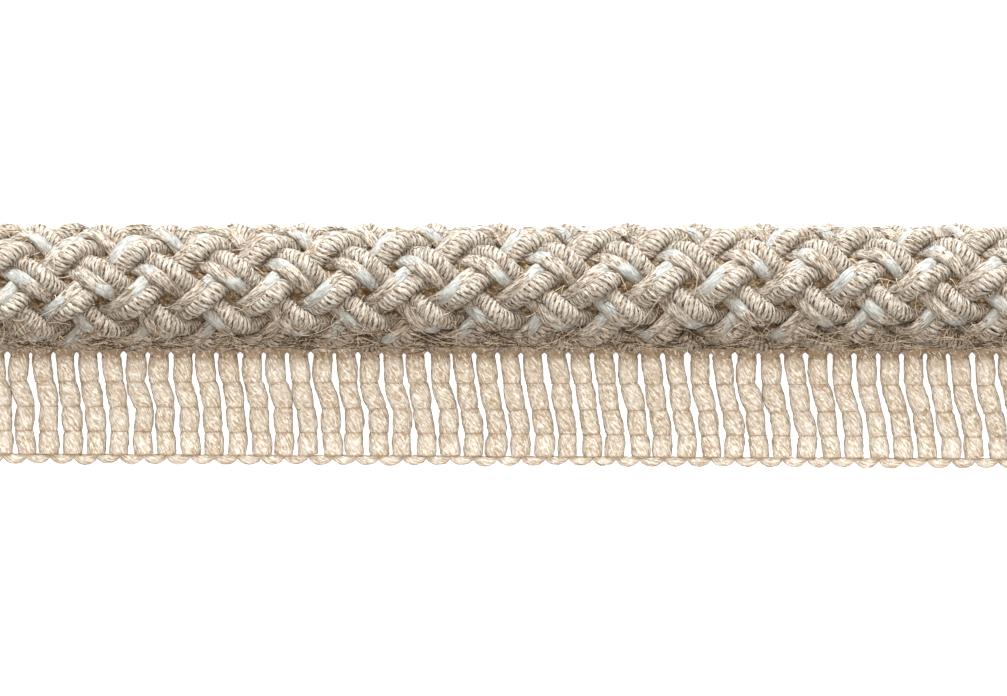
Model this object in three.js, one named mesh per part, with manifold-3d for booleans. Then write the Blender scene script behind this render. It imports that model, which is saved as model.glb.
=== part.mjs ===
// A cut length of braided decorative cord with a knitted sewing lip, in millimetres.
// +X runs along the cord, +Y points from the lip towards the cord and +Z points up.
// The origin is at the middle of the length and width, on the surface that the cord lies on.

import * as THREE from 'three';
import { mergeVertices } from 'three/addons/utils/BufferGeometryUtils.js';
import Module from 'manifold-3d';

// The cord: a tube of strands laid two by two, six pairs each way, one pair over one pair.
const pairsEachWay = 6;
const braidRepeat = 6.046; // along the cord, from one raised pair to the next of the same lay
const stepsPerRepeat = 8; // rows of points in one repeat, the same round the cord
const rowCount = 133;
const cordRadius = 6; // to the crown of the tight strands
const cordAxisY = 5.65;
const cordAxisHeight = 5.88;
const reliefDepth = 1.1; // from a crown down to the line where two pairs cross
const softCrown = 0.86; // height of the soft strand, as a share of the tight one
const pairGroove = 0.35; // height of the groove between the two strands of a pair, as a share
const archPower = 0.5; // below 1 the raised pair is flat along its middle and dives at its ends
const flatHalfAngle = 13; // degrees: the narrow underside on which the cord has settled
const raisedRow = 68; // the row of points on which a raised pair of the first lay is centred
const patternTurn = 24.7; // degrees round from the top to that raised pair, towards +Y
const drift = { turn: 0.34, slowing: 0.0024 }; // degrees per mm, and degrees per mm squared

// The lip: flat yarn bundles side by side, pinched by five rows of stitches.
const columnCount = 45;
const columnPitch = 2.185;
const firstColumnX = -49.3;
const pitchBow = 0.35; // how far the middle columns stand back towards -X
const cellWidth = 1.73;
const cellHeight = 1.4;
const pinchWidth = 1.46;
const pinchHeight = 0.9;
const topInset = 0.7; // width of a bundle's top, as a share of its foot
const cellSteps = [0, 0.25, 0.75]; // where a cell's rings lie between two stitch rows
const columnRoot = 0.9; // how far a bundle runs into the heading above the first stitch row

// Each stitch row: its height in Y and how far the bundles have leaned towards +X on the way
// down to it, at the left and at the right end of the length.
const stitchRows = [
  { leftY: -0.8, rightY: -0.95, leftLean: 0, rightLean: 0 },
  { leftY: -3.1, rightY: -3.5, leftLean: 0.05, rightLean: 0.2 },
  { leftY: -5.35, rightY: -6.05, leftLean: 0.65, rightLean: 0.8 },
  { leftY: -7.65, rightY: -8.3, leftLean: 0.55, rightLean: 1.35 },
  { leftY: -9.85, rightY: -10.4, leftLean: 0.65, rightLean: 1.4 },
];

// The heading, a bar that fills the corner between the surface and the cord.
const headingStart = -50.2;
const headingEnd = 48.6;
const headingDepthY = 2.2; // how far it reaches in under the cord
const headingFront = -1.15;
const headingFrontHeight = 1.1;
const headingCrest = { y: 0.3, height: 2.1 };
const seatGap = 0.35; // left between the heading and the crowns of the cord

// The loops along the free edge, one from each bundle to the next.
const loopWidth = 2.05;
const loopDepth = 0.95;
const loopHeight = 0.9;
const loopRoot = 0.3;

const half = (rowCount * braidRepeat) / stepsPerRepeat / 2;
const rowStep = braidRepeat / stepsPerRepeat;
const pointsRound = (pairsEachWay * stepsPerRepeat) / 2;
const halfFacet = 180 / pointsRound;

// Height of the relief from 0 to 1. The crossings of the two lays are the whole numbers of
// (first, second); at an even sum the first lay is on top and at an odd sum the second is.
function braidRelief(first, second) {
  const firstCell = Math.round(first);
  const secondCell = Math.round(second);
  const firstOnTop = (firstCell + secondCell) % 2 === 0;
  const across = firstOnTop ? first - firstCell : second - secondCell;
  const along = firstOnTop ? second - secondCell : first - firstCell;
  const crown = across > 0 ? 1 : softCrown;
  const strands = crown * Math.abs(Math.sin(2 * Math.PI * across));
  const groove = pairGroove * Math.cos(Math.PI * across);
  const arch = Math.max(0, Math.cos(Math.PI * along)) ** archPower;
  return arch * Math.max(strands, groove);
}

// The braided cord: a closed cylinder whose rows of points are each turned half a facet on
// from the last, so that its edges follow both lays, raised and sunk by the relief.
function makeCordGeometry() {
  const tube = new THREE.CylinderGeometry(1, 1, 2 * half, pointsRound, rowCount);
  const points = tube.attributes.position;
  for (let i = 0; i < points.count; i += 1) {
    const x = points.getY(i);
    const onAxis = Math.hypot(points.getX(i), points.getZ(i)) < 0.5;
    if (onAxis) {
      points.setXYZ(i, x, cordAxisY, cordAxisHeight);
      continue;
    }
    const row = Math.round((half - x) / rowStep);
    const plainAngle = THREE.MathUtils.radToDeg(Math.atan2(points.getZ(i), points.getX(i)));
    const latticeAngle = plainAngle - row * halfFacet;
    const rowsOn = raisedRow - row;
    const facetsOn = latticeAngle / halfFacet;
    const relief = braidRelief((rowsOn + facetsOn) / stepsPerRepeat, (rowsOn - facetsOn) / stepsPerRepeat);
    const radius = cordRadius - reliefDepth * (1 - relief);
    const turned = latticeAngle + patternTurn + drift.turn * x - drift.slowing * x * x;
    const angle = THREE.MathUtils.degToRad(turned);
    const fromBottom = Math.abs(THREE.MathUtils.euclideanModulo(turned, 360) - 180);
    const height = fromBottom < flatHalfAngle ? 0 : cordAxisHeight + radius * Math.cos(angle);
    points.setXYZ(i, x, cordAxisY + radius * Math.sin(angle), height);
  }
  return tube;
}

function columnTopX(column) {
  const share = column / (columnCount - 1);
  return firstColumnX + column * columnPitch - pitchBow * Math.sin(Math.PI * share);
}

// The centre of a bundle at a stitch row, or part of the way from it to the next.
function bundlePoint(column, rowPosition) {
  const topX = columnTopX(column);
  const share = THREE.MathUtils.clamp((topX + half) / (2 * half), 0, 1);
  const row = Math.min(Math.floor(rowPosition), stitchRows.length - 2);
  const t = rowPosition - row;
  const from = stitchRows[row];
  const to = stitchRows[row + 1];
  const fromY = THREE.MathUtils.lerp(from.leftY, from.rightY, share);
  const toY = THREE.MathUtils.lerp(to.leftY, to.rightY, share);
  const fromLean = THREE.MathUtils.lerp(from.leftLean, from.rightLean, share);
  const toLean = THREE.MathUtils.lerp(to.leftLean, to.rightLean, share);
  return {
    x: topX + THREE.MathUtils.lerp(fromLean, toLean, t),
    y: THREE.MathUtils.lerp(fromY, toY, t),
  };
}

// One bundle: a long box with a ring of corners at each stitch row and two in each cell.
function makeBundleGeometry(column) {
  const cellCount = stitchRows.length - 1;
  const ringCount = cellCount * cellSteps.length + 1;
  const box = new THREE.BoxGeometry(1, ringCount, 1, 1, ringCount, 1);
  const points = box.attributes.position;
  for (let i = 0; i < points.count; i += 1) {
    const ring = Math.round(ringCount / 2 - points.getY(i));
    const step = Math.max(ring - 1, 0);
    const cellStep = cellSteps[step % cellSteps.length];
    const centre = bundlePoint(column, Math.floor(step / cellSteps.length) + cellStep);
    const pinched = cellStep === 0;
    const onTop = points.getZ(i) > 0;
    const width = (pinched ? pinchWidth : cellWidth) * (onTop ? topInset : 1);
    const height = pinched ? pinchHeight : cellHeight;
    const rootRise = ring === 0 ? columnRoot : 0;
    points.setXYZ(i, centre.x + points.getX(i) * width, centre.y + rootRise, onTop ? height : 0);
  }
  return box;
}

// The loop from a bundle's foot to the next one's, flat along its top and round below.
function makeLoopGeometry(column) {
  const lastRow = stitchRows.length - 1;
  const left = bundlePoint(column, lastRow);
  const right = bundlePoint(column + 1, lastRow);
  const centreX = (left.x + right.x) / 2;
  const centreY = (left.y + right.y) / 2;
  const outline = new THREE.Shape();
  outline.moveTo(centreX + loopWidth / 2, centreY + loopRoot);
  outline.lineTo(centreX - loopWidth / 2, centreY + loopRoot);
  outline.lineTo(centreX - loopWidth / 2, centreY);
  outline.absellipse(centreX, centreY, loopWidth / 2, loopDepth, Math.PI, 2 * Math.PI, false, 0);
  return new THREE.ExtrudeGeometry(outline, {
    depth: loopHeight,
    bevelEnabled: false,
    curveSegments: 5,
  });
}

// The heading's section is drawn in Y and Z and drawn out along X. Its top follows the cord.
function makeHeadingGeometry() {
  const seatRadius = cordRadius + seatGap;
  const seatHeight = (y) => cordAxisHeight - Math.sqrt(seatRadius ** 2 - (cordAxisY - y) ** 2);
  const seatSteps = 3;
  const section = new THREE.Shape();
  section.moveTo(headingFront, 0);
  section.lineTo(headingDepthY, 0);
  for (let step = 0; step < seatSteps; step += 1) {
    const y = THREE.MathUtils.lerp(headingDepthY, headingCrest.y, step / seatSteps);
    section.lineTo(y, seatHeight(y));
  }
  section.lineTo(headingCrest.y, Math.min(headingCrest.height, seatHeight(headingCrest.y)));
  section.lineTo(headingFront, headingFrontHeight);
  const bar = new THREE.ExtrudeGeometry(section, {
    depth: headingEnd - headingStart,
    bevelEnabled: false,
  });
  const alongX = new THREE.Matrix4().makeBasis(
    new THREE.Vector3(0, 1, 0),
    new THREE.Vector3(0, 0, 1),
    new THREE.Vector3(1, 0, 0),
  );
  bar.applyMatrix4(alongX);
  bar.translate(headingStart, 0, 0);
  return bar;
}

const wasm = await Module();
wasm.setup();

function closeGeometry(geometry) {
  geometry.deleteAttribute('normal');
  geometry.deleteAttribute('uv');
  return mergeVertices(geometry);
}

function toSolid(geometry) {
  const closed = closeGeometry(geometry);
  return new wasm.Manifold(new wasm.Mesh({
    numProp: 3,
    vertProperties: new Float32Array(closed.attributes.position.array),
    triVerts: new Uint32Array(closed.index.array),
  }));
}

function toGeometry(solid) {
  const mesh = solid.getMesh();
  const geometry = new THREE.BufferGeometry();
  geometry.setAttribute('position', new THREE.BufferAttribute(mesh.vertProperties, 3));
  geometry.setIndex(new THREE.BufferAttribute(mesh.triVerts, 1));
  geometry.computeVertexNormals();
  return geometry;
}

// The lip is one knitted piece: the heading, the bundles and the loops, joined.
function makeLipGeometry() {
  let lip = toSolid(makeHeadingGeometry());
  for (let column = 0; column < columnCount; column += 1) {
    lip = lip.add(toSolid(makeBundleGeometry(column)));
  }
  for (let column = 0; column < columnCount - 1; column += 1) {
    lip = lip.add(toSolid(makeLoopGeometry(column)));
  }
  return toGeometry(lip);
}

const cordYarn = new THREE.MeshStandardMaterial({ color: 0xb5a692, roughness: 0.95, metalness: 0 });
const lipYarn = new THREE.MeshStandardMaterial({ color: 0xdccdb6, roughness: 0.9, metalness: 0 });

const cordGeometry = closeGeometry(makeCordGeometry());
cordGeometry.computeVertexNormals();
const cordMesh = new THREE.Mesh(cordGeometry, cordYarn);
cordMesh.name = 'braided_cord';

const lipMesh = new THREE.Mesh(makeLipGeometry(), lipYarn);
lipMesh.name = 'sewing_lip';

const group = new THREE.Group();
group.name = 'decorative_cord';
group.add(cordMesh, lipMesh);

export default group;
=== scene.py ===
import math

import bpy
import numpy as np
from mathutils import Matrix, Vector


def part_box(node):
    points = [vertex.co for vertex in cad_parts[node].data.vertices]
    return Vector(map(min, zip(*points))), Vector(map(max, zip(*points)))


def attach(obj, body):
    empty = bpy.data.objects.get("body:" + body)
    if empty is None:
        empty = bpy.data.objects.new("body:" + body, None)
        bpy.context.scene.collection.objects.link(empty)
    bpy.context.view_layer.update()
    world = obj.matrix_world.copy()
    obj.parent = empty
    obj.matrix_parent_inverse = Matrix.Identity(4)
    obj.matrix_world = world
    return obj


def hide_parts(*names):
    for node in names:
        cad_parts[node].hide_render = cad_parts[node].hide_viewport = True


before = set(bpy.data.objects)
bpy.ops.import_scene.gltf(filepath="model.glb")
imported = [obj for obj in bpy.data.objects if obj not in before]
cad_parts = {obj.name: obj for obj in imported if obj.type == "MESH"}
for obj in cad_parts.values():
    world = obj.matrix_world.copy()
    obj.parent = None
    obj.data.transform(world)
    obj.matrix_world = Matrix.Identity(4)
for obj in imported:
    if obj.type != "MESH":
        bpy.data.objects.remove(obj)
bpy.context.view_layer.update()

metre = 1000.0  # lengths below are in millimetres, and become metres when a mesh is made

cordLow, cordHigh = (np.array(corner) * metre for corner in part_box("braided_cord"))
halfLength = (cordHigh[0] - cordLow[0]) / 2
cordRadius = (cordHigh[1] - cordLow[1]) / 2
axisY = (cordHigh[1] + cordLow[1]) / 2
axisZ = cordHigh[2] - cordRadius

print("stage: camera and light")

studio = {
    "photoWidth": 93.24,  # what the picture spans at the focus height
    "focusHeight": 5.0,
    "cameraHeight": 1500.0,
    "sensor": 36.0,
    "suns": (
        {
            "name": "overhead light", "power": 3.08, "tint": (1.0, 0.955, 0.90),
            "elevation": 90.0, "spread": 40.0,
        },
        {
            "name": "side light", "power": 6.05, "tint": (0.90, 0.945, 1.0),
            "elevation": 28.0, "spread": 34.0,
        },
    ),
    "skyLevel": 0.36,
    "skyTint": (1.0, 0.99, 0.975),
    "floorGlow": 0.65,
    "floorColour": (0.75, 0.75, 0.75),
    "floorSize": 3.0,  # metres
}


def makeCamera():
    camera = bpy.data.objects.new("camera", bpy.data.cameras.new("camera"))
    bpy.context.collection.objects.link(camera)
    away = studio["cameraHeight"] - studio["focusHeight"]
    camera.data.sensor_width = studio["sensor"]
    camera.data.lens = studio["sensor"] * away / studio["photoWidth"]
    camera.location = (0, 0, studio["cameraHeight"] / metre)
    bpy.context.scene.camera = camera


def makeLight():
    for sun in studio["suns"]:
        lamp = bpy.data.objects.new(sun["name"], bpy.data.lights.new(sun["name"], "SUN"))
        bpy.context.collection.objects.link(lamp)
        lamp.data.energy = sun["power"]
        lamp.data.color = sun["tint"]
        lamp.data.angle = math.radians(sun["spread"])
        lamp.rotation_euler = (math.radians(sun["elevation"] - 90), 0, 0)  # from the +Y side
    world = bpy.data.worlds.new("pale room")
    world.use_nodes = True
    sky = world.node_tree.nodes["Background"]
    sky.inputs["Color"].default_value = (*studio["skyTint"], 1)
    sky.inputs["Strength"].default_value = studio["skyLevel"]
    bpy.context.scene.world = world
    bpy.context.scene.view_settings.view_transform = "Standard"


makeCamera()
makeLight()


vectorOut, numberOut = 1, 2  # outputs of an attribute node
objectOut = 3  # of a texture coordinate node: the place in the object


# Materials: one class holds a material's node tree, and one wraps a socket for arithmetic.
class Value:
    def __init__(self, look, socket):
        self.look = look
        self.socket = socket

    def __add__(self, other):
        return self.look.math("ADD", self, other)

    __radd__ = __add__

    def __sub__(self, other):
        return self.look.math("SUBTRACT", self, other)

    def __rsub__(self, other):
        return self.look.math("SUBTRACT", other, self)

    def __mul__(self, other):
        return self.look.math("MULTIPLY", self, other)

    __rmul__ = __mul__


class Look:
    def __init__(self, name, roughness, sheen=0.0, specular=0.3):
        self.material = bpy.data.materials.new(name)
        self.material.use_nodes = True
        self.tree = self.material.node_tree
        self.shader = self.tree.nodes["Principled BSDF"]
        self.shader.inputs["Roughness"].default_value = roughness
        self.shader.inputs["Sheen Weight"].default_value = sheen
        self.shader.inputs["Sheen Roughness"].default_value = 0.4
        self.shader.inputs["Specular IOR Level"].default_value = specular

    # Links a socket to a value, or sets it.
    def feed(self, target, value):
        if isinstance(value, Value):
            self.tree.links.new(value.socket, target)
        else:
            target.default_value = value

    # Adds a node: its settings first, then what its sockets take, by name or number.
    def add(self, kind, settings, sockets, out=0):
        node = self.tree.nodes.new(kind)
        for name, setting in settings.items():
            if name == "stops":
                ramp = node.color_ramp
                for stop, (place, level) in zip((ramp.elements[0], ramp.elements[1]), setting):
                    stop.position = place
                    stop.color = (level, level, level, 1)
            else:
                setattr(node, name, setting)
        for name, value in sockets.items():
            self.feed(node.inputs[name], value)
        return Value(self, node.outputs[out])

    def math(self, operation, first, second=0.0):
        return self.add("ShaderNodeMath", {"operation": operation}, {0: first, 1: second})

    def split(self, vector, out):
        return self.add("ShaderNodeSeparateXYZ", {}, {0: vector}, out)

    def attribute(self, name, out):
        return self.add("ShaderNodeAttribute", {"attribute_name": name}, {}, out)

    def noise(self, place, scale, detail=2.0, rough=0.5):
        sockets = {"Vector": place, "Scale": scale, "Detail": detail, "Roughness": rough}
        return self.add("ShaderNodeTexNoise", {}, sockets)

    def ramp(self, value, low, high):
        return self.add("ShaderNodeValToRGB", {"stops": ((low, 0.0), (high, 1.0))}, {"Fac": value})

    # The colour sockets of a mix node are 6 and 7, and its colour comes out at 2.
    def mix(self, share, first, second, blend="MIX"):
        settings = {"data_type": "RGBA", "blend_type": blend}
        return self.add("ShaderNodeMix", settings, {0: share, 6: first, 7: second}, 2)

    def bump(self, height, strength, distance):
        sockets = {"Height": height, "Strength": strength, "Distance": distance}
        self.feed(self.shader.inputs["Normal"], self.add("ShaderNodeBump", {}, sockets))


# A solid colour for a socket.
def colour(red, green, blue):
    return (red, green, blue, 1.0)


# The two levels between which each pattern of a yarn's finish is let in.
ramps = {
    "streaks": (0.41, 0.59),
    "clouds": (0.42, 0.7),
    "cover": (0.38, 0.62),
    "line": (0.08, 0.2),  # shares of a yarn's width, from the middle of the line between two
    "breaks": (0.38, 0.55),
    # the streaks in the painted shade where a strand sinks
    "sunkShadeStreaks": (0.35, 0.62),
    # fine flecks of painted shade between the fibres
    "shadeFlecks": (0.36, 0.46),
    "glints": (0.55, 0.66),
}
yarnMix = {
    "raggedness": 3.0,  # how far the streaks push the edge of a cover to and fro
    "surfaceLines": 0.45,  # what stays of the mesh's own lines where a finish draws yarns
    "brokenLine": 0.25,  # what stays of a line where it is broken
    "sunkShadeLeast": 0.45,  # and of the painted shade deep in the piece, where the streaks are low
}


# A yarn's finish. The mesh carries "fibre", a place in the untwisted yarn that is drawn out
# along it, "hollow", 1 in the lines between yarns, "depth", 1 deep in the piece, and, on a
# yarn that sinks into another, "cover", 1 where that one hides it. Streaks along the fibres
# run from dark to light, and clouds bring in the stray colour. A finish with "yarns" draws
# that many dark lines along the strand, which sway with the streaks; these lines and the
# hollows are painted shade in the shade colour, and the depth is painted shade in the deep
# colour, streaked. Breaks thin the lines out, and the finest noise, the hairs, gives flecks
# of painted shade, painted glints and the bump.
def makeYarnLook(name, finish):
    look = Look(name, finish["roughness"], finish["sheen"], specular=finish["specular"])
    fibre = look.attribute("fibre", vectorOut)
    hollow = look.attribute("hollow", numberOut)
    depth = look.attribute("depth", numberOut)
    streaks = look.noise(fibre, finish["streakScale"], detail=3.0, rough=0.65)
    clouds = look.noise(fibre, finish["cloudScale"], detail=1.0)
    breaks = look.noise(fibre, finish["breakScale"])
    hairs = look.noise(fibre, finish["hairScale"], rough=0.6)
    base = look.mix(look.ramp(streaks, *ramps["streaks"]), finish["dark"], finish["light"])
    cloudy = look.ramp(clouds, *ramps["clouds"])
    base = look.mix(cloudy * finish["strayShare"], base, finish["stray"])
    if "cover" in finish:
        raggedness = yarnMix["raggedness"]
        ragged = look.attribute("cover", numberOut) + raggedness * streaks - raggedness / 2
        base = look.mix(look.ramp(ragged, *ramps["cover"]), base, finish["cover"])
    if "yarns" in finish:
        across = look.split(fibre, 0)
        upward = look.split(fibre, 1)
        turn = look.math("ARCTAN2", upward, across) * (finish["yarns"] / math.tau)
        swayed = look.math("FRACT", turn + finish["sway"] * (streaks - 0.5) + 0.5)
        line = 1 - look.ramp(look.math("ABSOLUTE", swayed - 0.5), *ramps["line"])
        hollow = look.math("MAXIMUM", hollow * yarnMix["surfaceLines"], line)
    least = yarnMix["brokenLine"]
    hollow = hollow * (least + (1 - least) * look.ramp(breaks, *ramps["breaks"]))
    # painted shade in the lines between yarns, in the shade colour
    base = look.mix(hollow * finish["hollowShare"], base, finish["shade"])
    # painted shade deep in the piece, where a strand sinks under others, broken by the streaks
    least = yarnMix["sunkShadeLeast"]
    sunkShade = depth * (least + (1 - least) * look.ramp(streaks, *ramps["sunkShadeStreaks"]))
    base = look.mix(sunkShade * finish["depthShare"], base, finish["deep"], "MULTIPLY")
    # fine flecks of painted shade, then painted glints, from the finest noise
    shadeFlecks = 1 - look.ramp(hairs, *ramps["shadeFlecks"])
    base = look.mix(shadeFlecks * finish["shadeFleckShare"], base, finish["shade"])
    glints = look.ramp(hairs, *ramps["glints"])
    base = look.mix(glints * finish["glintShare"], base, finish["glint"])
    look.feed(look.shader.inputs["Base Color"], base)
    look.bump(hairs, finish["bumpStrength"], finish["bumpHeight"] / metre)
    return look.material


# In each finish, shade and deep are colours of painted shade: shade in the lines between yarns and in
# the finest flecks, deep where the piece sinks.
tightFinish = {
    "yarns": 4, "sway": 1.2,
    "light": colour(0.57, 0.53, 0.455), "dark": colour(0.30, 0.235, 0.17),
    "stray": colour(0.505, 0.48, 0.42), "shade": colour(0.05, 0.024, 0.009),
    "deep": colour(0.42, 0.245, 0.12), "glint": colour(0.60, 0.575, 0.52),
    "strayShare": 0.4, "hollowShare": 0.97, "depthShare": 0.5,
    "glintShare": 0.65, "shadeFleckShare": 0.72,
    "streakScale": 1.3, "cloudScale": 0.35, "breakScale": 1.2, "hairScale": 3.1,
    "bumpStrength": 1.0, "bumpHeight": 0.12,
    "roughness": 0.9, "sheen": 0.0, "specular": 0.08,
}
softFinish = dict(
    tightFinish,
    yarns=13, sway=4.0,
    light=colour(0.555, 0.51, 0.435), dark=colour(0.28, 0.21, 0.145), shade=colour(0.06, 0.03, 0.012),
    streakScale=5.0, cloudScale=0.9, breakScale=4.0, hairScale=8.5, hollowShare=0.88,
)
paleFinish = dict(
    softFinish,
    light=colour(0.455, 0.475, 0.45), dark=colour(0.31, 0.315, 0.295), glint=colour(0.54, 0.57, 0.56),
    stray=colour(0.47, 0.465, 0.43), shade=colour(0.15, 0.13, 0.105), cover=colour(0.41, 0.35, 0.275),
    strayShare=0.3, hollowShare=0.5, shadeFleckShare=0.4,
)
# The core is real, but its near-black browns stand for the shade in the gaps of the braid where it
# shows: painted shade.
coreFinish = dict(
    softFinish,
    yarns=30, sway=6.0,
    light=colour(0.27, 0.19, 0.11), dark=colour(0.08, 0.045, 0.02), glint=colour(0.46, 0.37, 0.25),
    stray=colour(0.24, 0.19, 0.11), streakScale=2.0, hairScale=4.0,
)
lipFinish = {
    "light": colour(0.85, 0.805, 0.715), "dark": colour(0.42, 0.315, 0.205),
    "stray": colour(0.84, 0.815, 0.745), "shade": colour(0.36, 0.23, 0.12),
    "deep": colour(0.55, 0.38, 0.22), "glint": colour(0.95, 0.93, 0.87),
    "strayShare": 0.4, "hollowShare": 0.7, "depthShare": 1.0,
    "glintShare": 0.85, "shadeFleckShare": 0.2,
    "streakScale": 6.5, "cloudScale": 0.8, "breakScale": 3.0, "hairScale": 8.5,
    "bumpStrength": 1.0, "bumpHeight": 0.10,
    "roughness": 0.5, "sheen": 0.08, "specular": 0.45,
}


def unit(vectors):
    return vectors / np.linalg.norm(vectors, axis=-1, keepdims=True)


# A section carried along a path: point = path + wide * side + high * out, with side square to
# the path and to out. Where squareness is 1 each point is slid along the path into the
# plane through the path's point and square to X, as scissors cut it.
def carrySection(path, out, wide, high, squareness=None):
    tangent = unit(np.gradient(path, axis=0))
    side = unit(np.cross(out, tangent))
    square = np.cross(tangent, side)
    offset = wide[..., None] * side[:, None] + high[..., None] * square[:, None]
    if squareness is not None:
        slide = offset[..., 0] / tangent[:, None, 0] * squareness[:, None]
        offset = offset - slide[..., None] * tangent[:, None]
    return path[:, None] + offset


floorGap = 0.02  # nothing comes closer to the floor than this


# Joins closed grids of points, each rings by points round, into one mesh with flat ends.
def makePiece(name, grids, fields, look):
    corners = []
    starts = []
    vertexCount = 0
    cornerCount = 0
    for grid in grids:
        rings, around = grid.shape[:2]
        here = vertexCount + np.arange(rings * around).reshape(rings, around)
        beside = np.roll(here, -1, axis=1)
        quads = np.stack([beside[:-1], beside[1:], here[1:], here[:-1]], axis=-1)
        corners += [quads.ravel(), here[0, ::-1], here[-1]]
        quadCount = quads.shape[0] * quads.shape[1]
        starts.append(cornerCount + 4 * np.arange(quadCount))
        cornerCount += 4 * quadCount
        starts.append(np.array([cornerCount, cornerCount + around]))
        cornerCount += 2 * around
        vertexCount += rings * around
    points = np.concatenate([grid.reshape(-1, 3) for grid in grids])
    points[:, 2] = np.maximum(points[:, 2], floorGap)
    mesh = bpy.data.meshes.new(name)
    mesh.vertices.add(len(points))
    mesh.vertices.foreach_set("co", (points / metre).ravel())
    corners = np.concatenate(corners)
    starts = np.concatenate(starts)
    mesh.loops.add(len(corners))
    mesh.loops.foreach_set("vertex_index", corners)
    mesh.polygons.add(len(starts))
    mesh.polygons.foreach_set("loop_start", starts)
    mesh.polygons.foreach_set("use_smooth", np.ones(len(starts), bool))
    for field, arrays in fields.items():
        values = np.concatenate([array.reshape(-1) for array in arrays]).astype(np.float32)
        vector = len(values) > len(points)
        layer = mesh.attributes.new(field, "FLOAT_VECTOR" if vector else "FLOAT", "POINT")
        layer.data.foreach_set("vector" if vector else "value", values)
    mesh.update(calc_edges=True)
    mesh.validate()
    mesh.materials.append(look)
    piece = bpy.data.objects.new(name, mesh)
    bpy.context.collection.objects.link(piece)
    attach(piece, "root")
    return piece


print("stage: braid")

# Angles are degrees round the cord from its top towards +Y. A strand of the falling lay comes
# down towards -Y as it runs along +X, and one of the rising lay goes up.
braid = {
    "pairs": 6,
    "repeat": 6.046,
    "raisedX": -0.417,  # a raised tight strand of the falling lay is centred here
    "raisedAngle": 31.2,
    "driftTurn": 0.34,  # the pattern turns slowly round the cord, degrees per mm
    "driftSlowing": 0.0024,
    "risingShift": -5.0,  # where a rising tight strand runs below that centre
    "softGap": {-1: -19.0, 1: 15.5},  # from a tight strand to its soft partner, by lay
    "underRadius": 3.6,  # centre of a strand where it passes under a pair
    "wander": 1.3,  # degrees that a strand strays to each side
    "swell": 0.05,  # mm that it strays in and out
    "browning": 1.1,  # painted shade makes the side beside the lip darker and browner, standing also for its browner fuzz in Y, and at full strength this far below
    "brownFrom": 3.4,  # in Y, and fully brown this far below
    "brownOver": 3.0,
    "stretch": 1.42,  # a strand is about this much longer than the cord
    "cutLength": 2.5,  # over this length at each end the sections turn square to the cut
    "cutPower": 1.5,
    "setBack": {"falling": 0.0, "rising": 0.06, "pale": 0.10, "soft": 0.15},  # of the cut ends
}
tight = {
    "radius": {-1: 0.83, 1: 0.90},
    "flat": {-1: 0.08, 1: 0.24},  # how much flatter than its helix a raised strand lies
    "ridges": 4,
    "ridgeLay": 1.64,  # mm along the strand for one turn of its fine yarns
    "ringsPerRidge": 3,
    "ridgeDepth": 0.07,
    "inset": 0.03,  # of the middle of its surface from its radius
    "unevenness": 0.028,  # mm by which each point of the surface strays
    "swell": 0.05,
    "fibreStretch": 30.0,
}
soft = {
    "flat": {-1: 0.28, 1: -0.05},
    "crownRadius": 5.25,
    "halfWidth": {-1: 0.74, 1: 0.68},
    "halfHeight": 0.46,
    "lineDepth": 0.8,  # shares of fibreDepth: how high and low its lines lie by turns,
    "lineSpread": 0.6,  # how much they differ from one another,
    "hairSpread": 0.5,  # and how far each point strays
    "ringStep": 0.45,
    "points": 20,
    "fibreLay": 14.0,
    "fibreDepth": 0.028,
    # where the pale ply lies in the middle of a raised stretch, degrees from the strand's
    # left side, by lay and strand: near 160 it shows towards the right end, near 0 the left
    "paleAngle": {-1: (160, 5, 165, 10, 160, 20), 1: (40, 165, 35, 160, 170, 150)},
    "paleSway": 14.0,
    "paleWidth": 0.60,  # half of it, at its widest
    "paleHeight": 0.35,
    "paleAside": 0.30,
    "paleStart": 0.08,  # half its width and height where it is sunk
    "paleSink": 0.3,  # how far its middle stays below the strand's top
    "palePower": 0.6,  # below 1 the lens is blunt at its ends
    "coverLevel": 0.56,  # how far beige fibres hide it: at its side,
    "coverFall": 1.1,  # less this in the middle of the lens,
    "coverEdge": 0.4,  # and more along its two edges
    "paleStep": 0.4,
    "palePoints": 12,
    "fibreRadius": 0.55,
    "paleFibreRadius": 0.4,
    "fibreStretch": 2.2,  # how much shorter its fibres' streaks are than ten times their width
    "swell": 0.06,
}
shade = {
    "line": 0.8,  # how dark the line between two yarns is
    "stray": 0.3,  # and how much darker where the surface strays inwards
    "low": 0.6,  # the same for the lines along a bundle of long fibres
}
random = np.random.default_rng(7)


# Three slow waves of different length, between about -1 and 1, along the cord.
def slowWave(x, seed):
    lengths = np.array([7.0, 13.0, 29.0])
    shifts = np.random.default_rng(seed).uniform(0, 2 * np.pi, 3)
    waves = np.sin(2 * np.pi * x[:, None] / lengths + shifts)
    weights = np.array([0.5, 0.6, 0.5])
    return waves @ weights


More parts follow.
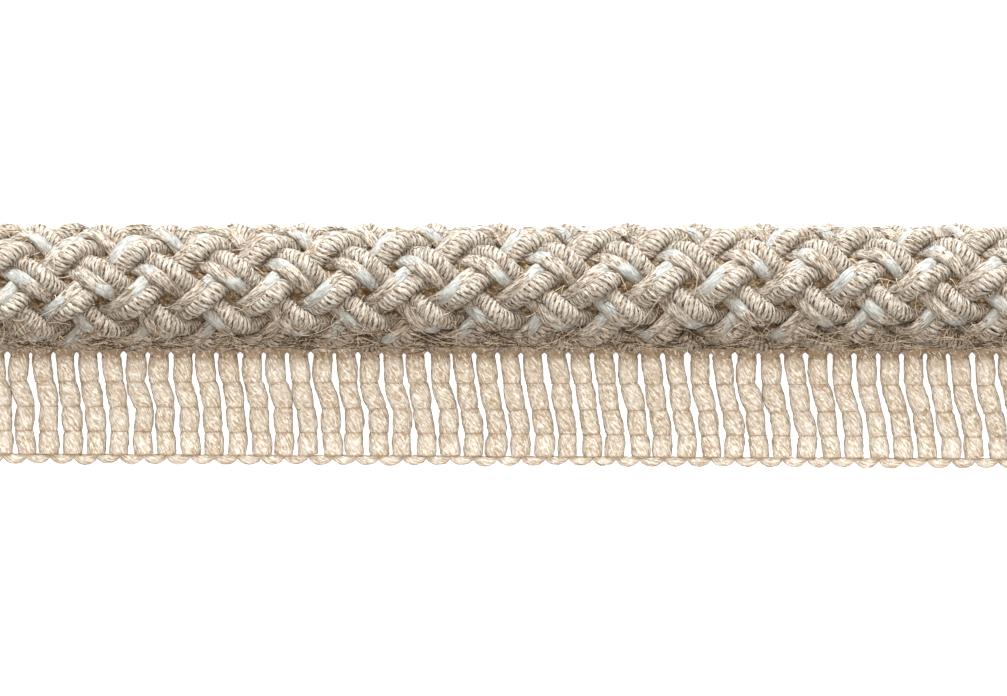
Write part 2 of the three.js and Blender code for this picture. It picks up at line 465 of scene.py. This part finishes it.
# The centre line of one strand. The angle round the cord changes evenly along X, less where
# the strand is raised; the radius swings as the cosine of its place among the crossings.
def strandLine(x, lay, number, isTight, flat, crownRadius):
    rate = 360 / braid["pairs"] / braid["repeat"]
    spacing = 360 / braid["pairs"]
    onward = rate * (x - braid["raisedX"])
    drift = braid["driftTurn"] * x - braid["driftSlowing"] * x**2
    start = braid["raisedAngle"] + (braid["risingShift"] if lay > 0 else 0)
    gap = 0 if isTight else braid["softGap"][lay]
    angle = start + (spacing * number + gap) + lay * onward + drift
    crossing = (angle - (start - lay * onward + drift)) / spacing
    phase = np.pi * (crossing + number + (1 if lay > 0 else 0))
    angle = angle - flat * spacing / (2 * np.pi) * np.sin(phase)
    seed = 100 * lay + 10 * isTight + number + 500  # each strand has waves of its own
    angle = angle + braid["wander"] * slowWave(x, seed)
    middle = (crownRadius + braid["underRadius"]) / 2
    swing = (crownRadius - braid["underRadius"]) / 2
    radius = middle + swing * np.cos(phase) + braid["swell"] * slowWave(x, seed + 200)
    turn = np.radians(angle)
    out = np.stack([np.zeros_like(x), np.sin(turn), np.cos(turn)], axis=-1)
    path = np.stack([x, axisY + radius * np.sin(turn), axisZ + radius * np.cos(turn)], axis=-1)
    return path, out, phase


# Places along the cord about one step of the strand apart, from cut end to cut end.
def evenSteps(step, kind):
    end = halfLength - braid["setBack"][kind]
    return np.linspace(-end, end, int(2 * halfLength * braid["stretch"] / step))


# The sum of the straight steps between the points of a path, up to each point.
def distanceAlong(path):
    steps = np.linalg.norm(np.diff(path, axis=0), axis=1)
    return np.concatenate([[0.0], np.cumsum(steps)])


# 1 at the cut ends, falling to 0 as a power of the distance from them.
def cutSquareness(x):
    inside = (x[-1] - np.abs(x)) / braid["cutLength"]
    return np.clip(1 - inside, 0, 1) ** braid["cutPower"]


drawnOut = 0.1
strandShift = 3.7


# A place in the untwisted yarn: round it in mm, and a tenth of the way along it, set apart
# for each strand.
def fibrePlace(radius, angle, along, number):
    lengthwise = along * drawnOut + number * strandShift
    parts = [radius * np.cos(angle), radius * np.sin(angle), lengthwise]
    return np.stack(np.broadcast_arrays(*parts), axis=-1)


# 0 on a crown and 1 where the strand passes under: half of 1 less the cosine of its phase.
def sunkShare(phase, angle):
    return 0.5 - 0.5 * np.cos(phase[:, None]) + 0 * angle


# The dark line between two yarns, where the surface is low, stronger where it strays inwards.
def lineShade(ridge, uneven):
    return np.clip(np.where(ridge < 0, shade["line"], 0.0) - shade["stray"] * uneven, 0, 1)


# Three points to each yarn: one low, in the line between two yarns, and two on the yarn.
def yarnRidges(index):
    return np.where(index % 3 == 0, -1.0, 0.5)


# The lines along a bundle of long fibres: low and high by turns.
def fibreRidges(index):
    return np.where(index % 2 == 0, -soft["lineDepth"], soft["lineDepth"])


# A tight strand: fine yarns lie close round it as a steep screw.
def tightStrand(lay, number):
    step = tight["ridgeLay"] / tight["ridges"] / tight["ringsPerRidge"]
    x = evenSteps(step, "rising" if lay > 0 else "falling")
    crown = cordRadius - tight["radius"][lay]
    path, out, phase = strandLine(x, lay, number, True, tight["flat"][lay], crown)
    along = distanceAlong(path)[:, None]
    around = 3 * tight["ridges"]
    index = np.arange(around)
    still = 2 * np.pi * index / around
    angle = still + 2 * np.pi * along / tight["ridgeLay"]
    ridge = yarnRidges(index) + 0 * angle
    uneven = random.normal(0, 1, angle.shape)
    radius = tight["radius"][lay] - tight["inset"] + tight["ridgeDepth"] * ridge
    radius = radius + tight["unevenness"] * uneven
    radius = radius * (1 + tight["swell"] * slowWave(x, number + 7)[:, None])
    wide = radius * np.cos(angle)
    high = radius * np.sin(angle)
    grid = carrySection(path, out, wide, high, cutSquareness(x))
    fibre = fibrePlace(radius, still, tight["fibreStretch"] * along, number + 10 * lay)
    return grid, fibre, lineShade(ridge, uneven), sunkShare(phase, angle)


# The dark lines along a soft strand: as dark as its surface lies low.
def reliefShade(relief):
    return np.clip(-shade["low"] * relief, 0, 1)


# A soft strand: an oval bundle of long fibres, raised and sunk a little in lines along it.
def softStrand(lay, number):
    x = evenSteps(soft["ringStep"], "soft")
    path, out, phase = strandLine(x, lay, number, False, soft["flat"][lay], soft["crownRadius"])
    along = distanceAlong(path)[:, None]
    around = soft["points"]
    index = np.arange(around)
    still = 2 * np.pi * index / around
    angle = still + 2 * np.pi * along / soft["fibreLay"]
    relief = np.random.default_rng(number + 60).normal(0, soft["lineSpread"], around)
    relief = relief + fibreRidges(index) + soft["hairSpread"] * random.normal(0, 1, angle.shape)
    size = 1 + soft["swell"] * slowWave(x, number + 17)[:, None]
    wide = (soft["halfWidth"][lay] * size + soft["fibreDepth"] * relief) * np.cos(angle)
    high = (soft["halfHeight"] * size + soft["fibreDepth"] * relief) * np.sin(angle)
    grid = carrySection(path, out, wide, high, cutSquareness(x))
    stretched = soft["fibreStretch"] * along
    fibre = fibrePlace(soft["fibreRadius"], still, stretched, number + 20 * lay)
    return grid, fibre, reliefShade(relief), sunkShare(phase, angle)


# The pale ply of a soft strand winds round it once between one raised stretch and the next:
# its width is a root of the sine of that turn, so it comes up as a long lens and sinks again.
def paleRoving(lay, number):
    x = evenSteps(soft["paleStep"], "pale")
    line, out, phase = strandLine(x, lay, number, False, soft["flat"][lay], soft["crownRadius"])
    along = distanceAlong(line)
    sway = soft["paleSway"] * slowWave(x, 40 + 10 * lay + number)
    turn = np.radians(soft["paleAngle"][lay][number] + sway) - lay * phase
    showing = np.clip(np.sin(turn), 0, 1) ** soft["palePower"]
    tangent = unit(np.gradient(line, axis=0))
    side = unit(np.cross(out, tangent))
    square = np.cross(tangent, side)
    aside = soft["paleAside"] * np.cos(turn)[:, None] * side
    rise = (soft["halfHeight"] - soft["paleSink"]) * showing[:, None]
    path = line + aside + rise * square
    path[:, 0] = x
    around = soft["palePoints"]
    index = np.arange(around)
    still = 2 * np.pi * index / around
    angle = still + 2 * np.pi * along[:, None] / soft["fibreLay"]
    relief = fibreRidges(index) + soft["hairSpread"] * random.normal(0, 1, angle.shape)
    strength = showing[:, None]
    halfWidth = soft["paleStart"] + soft["paleWidth"] * strength + soft["fibreDepth"] * relief
    halfHeight = soft["paleStart"] + soft["paleHeight"] * strength + soft["fibreDepth"] * relief
    wide = halfWidth * np.cos(angle)
    high = halfHeight * np.sin(angle)
    grid = carrySection(path, out, wide, high, cutSquareness(x))
    stretched = soft["fibreStretch"] * along[:, None]
    fibre = fibrePlace(soft["paleFibreRadius"], still, stretched, number + 20 * lay)
    edge = soft["coverEdge"] * np.abs(np.cos(angle)) ** 8
    cover = np.clip(soft["coverLevel"] - soft["coverFall"] * np.sin(turn)[:, None] + edge, 0, 1)
    return grid, fibre, reliefShade(relief), sunkShare(phase, angle), cover


# One piece from several strands, with the depth, and so the painted shade, raised evenly over the side
# beside the lip.
def makeStrands(name, strands, look):
    grids, *arrays = zip(*strands)
    fields = dict(zip(("fibre", "hollow", "depth", "cover"), arrays))
    for depth, grid in zip(fields["depth"], grids):
        # more painted shade, darker and browner, towards the side beside the lip
        lowness = (braid["brownFrom"] - grid[..., 1]) / braid["brownOver"]
        depth += braid["browning"] * np.clip(lowness, 0, 1)
    return makePiece(name, grids, fields, look)


core = {
    "radius": 3.95,
    "spread": 1.1,  # how much wider it is at the cut ends, where it fills the braid
    "spreadOver": 1.0,
    "setBack": 0.22,
    "rings": 240,
    "points": 48,
    "twist": 0.5,  # radians for each mm
    "ridges": 16,
    "ridgeDepth": 0.12,
    "fibreStretch": 5.0,
}


# The core inside the braid: a round bar whose radius follows a cosine from yarn to yarn and
# grows evenly towards each cut end.
def makeCore(look):
    x = np.linspace(-1, 1, core["rings"]) * (halfLength - core["setBack"])
    path = np.stack([x, np.full_like(x, axisY), np.full_like(x, axisZ)], axis=-1)
    out = np.tile([0.0, 0.0, 1.0], (len(x), 1))
    twist = core["twist"] * x[:, None]
    angle = 2 * np.pi * np.arange(core["points"]) / core["points"] + twist
    spread = np.clip(1 - (x[-1] - np.abs(x[:, None])) / core["spreadOver"], 0, 1)
    ridge = core["ridgeDepth"] * np.cos(core["ridges"] * (angle - twist))
    radius = core["radius"] + core["spread"] * spread + ridge
    grid = carrySection(path, out, radius * np.cos(angle), radius * np.sin(angle))
    fibre = fibrePlace(radius, angle, core["fibreStretch"] * x[:, None], 0)
    flat = np.zeros(radius.shape)
    fields = {"fibre": [fibre], "hollow": [flat], "depth": [flat]}
    return makePiece("cord_core", [grid], fields, look)


tightLook = makeYarnLook("tight beige yarn", tightFinish)
softLook = makeYarnLook("soft beige yarn", softFinish)
paleLook = makeYarnLook("pale grey roving", paleFinish)
coreLook = makeYarnLook("core yarn dark as painted shade", coreFinish)

numbers = range(braid["pairs"])
firstHalf = numbers[: braid["pairs"] // 2]
secondHalf = numbers[braid["pairs"] // 2 :]
fallingTight = makeStrands("tight_strands_falling", [tightStrand(-1, n) for n in numbers], tightLook)
risingTight = makeStrands("tight_strands_rising_a", [tightStrand(1, n) for n in firstHalf], tightLook)
risingMore = makeStrands("tight_strands_rising_b", [tightStrand(1, n) for n in secondHalf], tightLook)
softPlaces = [(lay, n) for lay in (-1, 1) for n in numbers]
softBeige = makeStrands("soft_strands", [softStrand(lay, n) for lay, n in softPlaces], softLook)
softPale = makeStrands("soft_strands_pale_ply", [paleRoving(lay, n) for lay, n in softPlaces], paleLook)
coreBody = makeCore(coreLook)
cordPieces = [risingTight, risingMore, softBeige, softPale, coreBody]

print("stage: sewing lip")

lip = {
    "columns": 45,
    "pitch": 2.185,
    "firstX": -49.3,
    "bow": 0.35,  # how far the middle columns stand back towards -X
    "cellWidth": 1.82,
    "rowWidths": (1.68, 1.50, 1.48, 1.49, 1.62),
    "cellHeight": 1.25,
    "pinchHeight": 0.95,
    "headWidth": 2.28,  # more than the pitch, so that neighbours meet
    "headLength": 3.1,
    "headSlope": 1.5,  # how steeply it rises towards the cord
    "seatGap": 0.12,  # left between it and the crowns of the cord
    "slitEnd": 0.09,  # share of the heading up to which the slits run on
    "slitTaper": 14,
    "wideBow": 0.7,  # below 1 the section is boxy across
    "highBow": 0.75,  # and in height
    "bulgePower": 0.5,  # the roots of the sine that a cell's width
    "swellPower": 0.3,  # and height follow
    "headCrease": 12,  # how fast painted shade darkens it from the first stitch row up into the heading, under the cord how dark the painted shade is in the stitch rows how much darker the painted shade is just below the first of them,
    "rowCrease": 0.25,  # how dark it is in the stitch rows
    "topCrease": 0.55,  # how much darker just below the first of them,
    "creaseFade": 4,  # and how fast that fades over the cells
    "ridges": 22,
    "ridgeDepth": 0.03,
    "unevenness": 0.024,
    "fullnessSpread": 0.045,  # of the cells' sizes
    "sway": 0.08,  # mm to each side on the way down
    "twist": 0.46,  # radians for each mm down the bundle
    "fibreRadius": 0.8,
    "fibreStretch": 3.3,
    "ringsPerCell": 10,
    "crowding": 0.8,  # how much closer the rings lie at the stitch rows
    "headingRings": 9,
    "headingCrowding": 1.15,
    "jitter": 0.065,  # mm by which a bundle strays at a stitch row, in X
    "headJitter": 0.3,  # share of that along the heading
}
stitchRows = [
    {"leftY": -0.8, "rightY": -0.95, "leftLean": 0.0, "rightLean": 0.0},
    {"leftY": -3.1, "rightY": -3.5, "leftLean": 0.05, "rightLean": 0.2},
    {"leftY": -5.35, "rightY": -6.05, "leftLean": 0.65, "rightLean": 0.8},
    {"leftY": -7.65, "rightY": -8.3, "leftLean": 0.55, "rightLean": 1.35},
    {"leftY": -9.80, "rightY": -10.3, "leftLean": 0.65, "rightLean": 1.4},
]


# Where the bundles leave the heading, in X: evenly spaced, less half a sine over the length.
def columnTops():
    column = np.arange(lip["columns"])
    share = column / (lip["columns"] - 1)
    return lip["firstX"] + column * lip["pitch"] - lip["bow"] * np.sin(np.pi * share)


# Where each bundle crosses each stitch row: two arrays, columns by rows, of X and Y.
def rowPlaces():
    tops = columnTops()
    share = np.clip((tops + halfLength) / (2 * halfLength), 0, 1)[:, None]
    keys = ("leftY", "rightY", "leftLean", "rightLean")
    leftY, rightY, leftLean, rightLean = (np.array([row[key] for row in stitchRows]) for key in keys)
    y = leftY + share * (rightY - leftY)
    x = tops[:, None] + leftLean + share * (rightLean - leftLean)
    jitter = random.normal(0, lip["jitter"], x.shape)
    jitter[:, 0] *= lip["headJitter"]
    return x + jitter, y


# A bundle of yarns: a flattened rounded section, wider and higher in the middle of each cell
# as a root of a sine, carried down through the stitch rows with its yarns twisted. Above the
# first row it widens until it meets its neighbours, and rises until it meets the cord, which it
# then follows underneath.
def makeBundles(rowX, rowY, look):
    rows = np.arange(len(stitchRows))
    cells = len(stitchRows) - 1
    even = np.linspace(0, cells, cells * lip["ringsPerCell"] + 1)
    place = even - lip["crowding"] * np.sin(2 * np.pi * even) / (2 * np.pi)
    within = place - np.floor(place)
    bulge = np.sin(np.pi * within) ** lip["bulgePower"]
    swellUp = np.sin(np.pi * within) ** lip["swellPower"]
    rowWidth = np.interp(place, rows, lip["rowWidths"])
    rise = np.linspace(1, 0, lip["headingRings"], endpoint=False) ** lip["headingCrowding"]
    opening = np.clip((rise - lip["slitEnd"]) * lip["slitTaper"], 0, 1)
    headWidth = lip["rowWidths"][0] + (lip["headWidth"] - lip["rowWidths"][0]) * opening
    # The crease is painted shade: under the cord in the heading, in the pinched stitch rows, and fading
    # below the first row.
    headCrease = np.clip(rise * lip["headCrease"], 0, 1)
    fading = np.exp(-lip["creaseFade"] * place)
    cellCrease = lip["rowCrease"] * (1 - swellUp) ** 2 + lip["topCrease"] * fading
    crease = np.concatenate([headCrease, cellCrease])
    around = 2 * lip["ridges"]
    index = np.arange(around)
    still = 2 * np.pi * index / around
    ridge = np.where(index % 2 == 0, -1.0, 1.0)
    grids, fibres, hollows, depths = [], [], [], []
    for column in range(lip["columns"]):
        bodyX = np.interp(place, rows, rowX[column])
        bodyX = bodyX + lip["sway"] * np.sin(np.pi * place + random.uniform(0, 6))
        bodyY = np.interp(place, rows, rowY[column])
        cellSizes = 1 + random.normal(0, lip["fullnessSpread"], cells)
        fullness = np.interp(place, rows[:-1] + 0.5, cellSizes)
        width = rowWidth + (lip["cellWidth"] * fullness - rowWidth) * bulge
        fullHeight = lip["cellHeight"] * fullness
        height = lip["pinchHeight"] + (fullHeight - lip["pinchHeight"]) * swellUp
        headY = bodyY[0] + lip["headLength"] * rise
        seatRadius = cordRadius + lip["seatGap"]
        aside = np.minimum(axisY - headY, 0.99 * seatRadius)  # so that the root stays real
        seat = axisZ - np.sqrt(seatRadius**2 - aside**2)
        headHeight = np.minimum(lip["pinchHeight"] + lip["headSlope"] * (headY - bodyY[0]), seat)
        x = np.concatenate([bodyX[0] + 0 * rise, bodyX])
        y = np.concatenate([headY, bodyY])
        width = np.concatenate([headWidth, width])[:, None] / 2
        height = np.concatenate([headHeight, height])[:, None] / 2
        path = np.stack([x, y, 0 * x], axis=-1)
        along = distanceAlong(path)[:, None]
        angle = still - lip["twist"] * along + column
        cosine = np.cos(angle)
        sine = np.sin(angle)
        uneven = random.normal(0, 1, angle.shape)
        relief = lip["ridgeDepth"] * ridge + lip["unevenness"] * uneven
        wide = (width + relief) * np.sign(cosine) * np.abs(cosine) ** lip["wideBow"]
        high = height + (height + relief) * np.sign(sine) * np.abs(sine) ** lip["highBow"]
        out = np.tile([0.0, 0.0, 1.0], (len(x), 1))
        grids.append(carrySection(path, out, wide, high))
        fibres.append(fibrePlace(lip["fibreRadius"], still, lip["fibreStretch"] * along, column))
        hollows.append(lineShade(ridge, uneven))
        depths.append(np.broadcast_to(crease[:, None], wide.shape))
    fields = {"fibre": fibres, "hollow": hollows, "depth": depths}
    return makePiece("lip_bundles", grids, fields, look)


loop = {
    "rings": 15,
    "points": 24,
    "reach": 1.08,  # from its middle to each end, in X
    "sag": 0.50,
    "raised": 0.06,  # how far its ends are tucked in above the last stitch row, in Y
    "endWidth": 0.06,  # half widths and heights: at an end, and what the middle adds
    "moreWidth": 0.40,
    "endHeight": 0.10,
    "moreHeight": 0.36,
    "sizeSpread": 0.05,
    "bow": 0.6,  # the power of 1 - t^2 that its thickness and sag follow
    "ridgeDepth": 0.03,
    "twist": 0.9,
    "fibreRadius": 0.5,
    "rimSteepness": 4,  # its painted shade along both sides: this times the share out to the side less this and its painted shade at both ends
    "rimStart": 2.8,  # less this
    "endShade": 0.4,  # and its depth at both ends
}


# The loop from one bundle's foot to the next: a flat-topped spindle of yarns that bows
# downwards, its thickness a power of 1 - t^2.
def makeLoops(rowX, rowY, look):
    t = np.sin(np.linspace(-1, 1, loop["rings"]) * np.pi / 2)
    body = np.clip(1 - t**2, 0, 1) ** loop["bow"]
    around = loop["points"]
    index = np.arange(around)
    still = 2 * np.pi * index / around
    ridge = yarnRidges(index)
    grids, fibres, hollows, depths = [], [], [], []
    for column in range(lip["columns"] - 1):
        centreX = (rowX[column, -1] + rowX[column + 1, -1]) / 2
        centreY = (rowY[column, -1] + rowY[column + 1, -1]) / 2
        size = 1 + random.normal(0, loop["sizeSpread"])
        width = loop["endWidth"] + loop["moreWidth"] * size * body
        height = loop["endHeight"] + loop["moreHeight"] * size * body
        x = centreX + loop["reach"] * t
        y = centreY + loop["raised"] - loop["sag"] * size * body
        path = np.stack([x, y, height + floorGap], axis=-1)
        along = distanceAlong(path)[:, None]
        angle = still + loop["twist"] * along + column
        out = np.tile([0.0, 0.0, 1.0], (len(x), 1))
        uneven = random.normal(0, 1, angle.shape)
        relief = loop["ridgeDepth"] * ridge + lip["unevenness"] * uneven
        wide = (width[:, None] + relief * body[:, None]) * np.cos(angle)
        high = (height[:, None] + relief * body[:, None]) * np.sin(angle)
        grids.append(carrySection(path, out, wide, high))
        fibres.append(fibrePlace(loop["fibreRadius"], still, lip["fibreStretch"] * along, column))
        hollows.append(lineShade(ridge, uneven))
        # painted shade along the loop's rims and at its ends
        rim = np.clip(loop["rimSteepness"] * np.abs(np.cos(angle)) - loop["rimStart"], 0, 1)
        depths.append(np.maximum(rim, loop["endShade"] * np.abs(t[:, None]) ** 3))
    fields = {"fibre": fibres, "hollow": hollows, "depth": depths}
    return makePiece("lip_edge_loops", grids, fields, look)


thread = {
    "stepsPerColumn": 10,
    "points": 5,
    "height": 0.35,  # between the bundles
    "bite": 0.27,  # over them it rises by the pinched height less this
    "dipWidth": 1.25,  # above 1 it dips before it is midway between two bundles
    "dipPower": 8,
    "sway": 0.03,
    "swayRate": 5.1,  # radians from bundle to bundle
    "thinRadius": 0.025,
    "moreRadius": 0.03,  # added where it lies over a bundle
    "dark": colour(0.40, 0.24, 0.12),
    "pale": colour(0.64, 0.45, 0.28),
    "grainScale": 900.0,
    "clearAlpha": 0.1,
    "moreAlpha": 0.7,
}


# Fine clear thread in each stitch row: it lies over every bundle and dips between them, as 1
# less a high power of the distance from the bundle's middle.
def makeStitches(rowX, rowY, look):
    gaps = lip["columns"] - 1
    place = np.linspace(0, gaps, thread["stepsPerColumn"] * gaps + 1)
    offset = np.abs(place - np.round(place)) * 2
    over = np.clip(1 - (offset * thread["dipWidth"]) ** thread["dipPower"], 0, 1)
    angle = 2 * np.pi * np.arange(thread["points"]) / thread["points"]
    grids, overs = [], []
    for row in range(1, len(stitchRows)):
        x = np.interp(place, np.arange(lip["columns"]), rowX[:, row])
        y = np.interp(place, np.arange(lip["columns"]), rowY[:, row])
        z = thread["height"] + (lip["pinchHeight"] - thread["bite"]) * over
        sway = thread["sway"] * np.sin(place * thread["swayRate"])
        path = np.stack([x, y + sway, z], axis=-1)
        out = np.tile([0.0, 0.0, 1.0], (len(x), 1))
        radius = thread["thinRadius"] + thread["moreRadius"] * over[:, None]
        grids.append(carrySection(path, out, radius * np.cos(angle), radius * np.sin(angle)))
        overs.append(np.broadcast_to(over[:, None], (len(x), thread["points"])))
    return makePiece("stitch_threads", grids, {"over": overs}, look)


def makeThreadLook():
    look = Look("clear stitch thread", roughness=0.3, specular=0.5)
    grain = look.noise(look.add("ShaderNodeTexCoord", {}, {}, objectOut), thread["grainScale"])
    base = look.mix(grain, thread["dark"], thread["pale"])
    look.feed(look.shader.inputs["Base Color"], base)
    alpha = thread["clearAlpha"] + thread["moreAlpha"] * look.attribute("over", numberOut)
    look.feed(look.shader.inputs["Alpha"], alpha)
    return look.material


lipLook = makeYarnLook("cream lip yarn", lipFinish)
rowX, rowY = rowPlaces()
lipBundles = makeBundles(rowX, rowY, lipLook)
lipLoops = makeLoops(rowX, rowY, lipLook)
stitches = makeStitches(rowX, rowY, makeThreadLook())

print("stage: loose fibres")

fuzz = {
    "count": 5000,
    "radius": 0.04,
    "steps": 6,
    "points": 3,
    "endGap": 2.0,  # no fibre is rooted closer than this to a cut end
    "lowShare": 0.55,  # of the fibres, those along the edge beside the lip
    "topShare": 0.12,  # and those along the opposite edge
    "lowAngle": (-83, 19),  # their middle and spread, degrees round the cord
    "topAngle": (80, 12),
    "otherAngle": (-60, 200),  # the others lie anywhere between these
    "lowLength": (0.8, 2.4),
    "otherLength": (0.5, 1.5),
    "edgeRoot": (5.0, 5.75),  # the roots' distance from the axis, along both edges
    "otherRoot": (4.3, 5.6),
    # waves of the tufts' heading: radians, then the wave's rate for each mm along and each
    # radian round the cord
    "tuftWaves": ((2.2, 1.7, 2), (1.6, 0.9, -5)),
    "stray": 0.6,  # radians by which one fibre's heading strays from its tuft's
    "lift": 0.35,
    "curl": 1.1,
    "droop": (0.1, 0.5),
    "tipShare": 0.4,  # how thick a tip is
    "toneStops": (0.35, 0.65),
    "dark": colour(0.06, 0.027, 0.009),
    "pale": colour(0.73, 0.595, 0.43),
}


# A loose fibre: root + length * (t * along + t^2 * curl), thinning to its tip. Its heading
# follows slow waves along and round the cord, so that neighbours lie in one tuft.
def makeFuzz(look):
    count = fuzz["count"]
    x = random.uniform(-halfLength + fuzz["endGap"], halfLength - fuzz["endGap"], count)
    share = random.random(count)
    low = share < fuzz["lowShare"]
    top = share > 1 - fuzz["topShare"]
    lowAngle = random.normal(*fuzz["lowAngle"], count)
    angle = np.where(low, lowAngle, random.uniform(*fuzz["otherAngle"], count))
    angle = np.where(top, random.normal(*fuzz["topAngle"], count), angle)
    turn = np.radians(angle)
    out = np.stack([0 * x, np.sin(turn), np.cos(turn)], axis=-1)
    beside = np.stack([0 * x, np.cos(turn), -np.sin(turn)], axis=-1)
    lengthwise = np.tile([1.0, 0.0, 0.0], (count, 1))
    tuft = sum(swing * np.sin(along * x + about * turn) for swing, along, about in fuzz["tuftWaves"])
    heading = (tuft + random.normal(0, fuzz["stray"], count))[:, None]
    flat = np.cos(heading) * lengthwise + np.sin(heading) * beside
    across = -np.sin(heading) * lengthwise + np.cos(heading) * beside
    lowLength = random.uniform(*fuzz["lowLength"], count)
    length = np.where(low, lowLength, random.uniform(*fuzz["otherLength"], count))[:, None]
    lift = random.uniform(0.0, fuzz["lift"], count)[:, None]
    edgeRoot = random.uniform(*fuzz["edgeRoot"], count)
    rootRadius = np.where(low | top, edgeRoot, random.uniform(*fuzz["otherRoot"], count))
    root = np.stack([x, 0 * x + axisY, 0 * x + axisZ], axis=-1) + rootRadius[:, None] * out
    start = flat + lift * out
    sideways = across * random.normal(0, fuzz["curl"], count)[:, None]
    curl = sideways - out * random.uniform(*fuzz["droop"], count)[:, None]
    t = np.linspace(0, 1, fuzz["steps"])[:, None, None]
    paths = root + length * (t * start + t**2 * curl)
    shape = np.linspace(1, fuzz["tipShare"], fuzz["steps"])[:, None] * fuzz["radius"]
    tone = random.random(count)
    angles = 2 * np.pi * np.arange(fuzz["points"]) / fuzz["points"]
    grids, tones = [], []
    for fibre in range(count):
        path = paths[:, fibre]
        steady = np.tile(out[fibre], (fuzz["steps"], 1))
        grids.append(carrySection(path, steady, shape * np.cos(angles), shape * np.sin(angles)))
        tones.append(np.full(fuzz["points"] * fuzz["steps"], tone[fibre]))
    return makePiece("loose_fibres", grids, {"tone": tones}, look)


def makeFuzzLook():
    look = Look("loose fibre", roughness=0.8, specular=0.1)
    tone = look.ramp(look.attribute("tone", numberOut), *fuzz["toneStops"])
    base = look.mix(tone, fuzz["dark"], fuzz["pale"])
    look.feed(look.shader.inputs["Base Color"], base)
    return look.material


looseFibres = makeFuzz(makeFuzzLook())
cordPieces.append(looseFibres)

print("stage: floor and hand-over")


def makeFloor():
    side = studio["floorSize"] / 2
    corners = [(-side, -side, 0), (side, -side, 0), (side, side, 0), (-side, side, 0)]
    mesh = bpy.data.meshes.new("floor")
    mesh.from_pydata(corners, [], [(0, 1, 2, 3)])
    floor = bpy.data.objects.new("floor", mesh)
    bpy.context.collection.objects.link(floor)
    look = Look("white table", roughness=0.9)
    look.shader.inputs["Base Color"].default_value = colour(*studio["floorColour"])
    look.shader.inputs["Emission Color"].default_value = colour(1, 1, 1)
    look.shader.inputs["Emission Strength"].default_value = studio["floorGlow"]
    mesh.materials.append(look.material)


makeFloor()

for piece in [fallingTight, *cordPieces]:
    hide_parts("braided_cord")
for piece in [lipBundles, lipLoops, stitches]:
    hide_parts("sewing_lip")
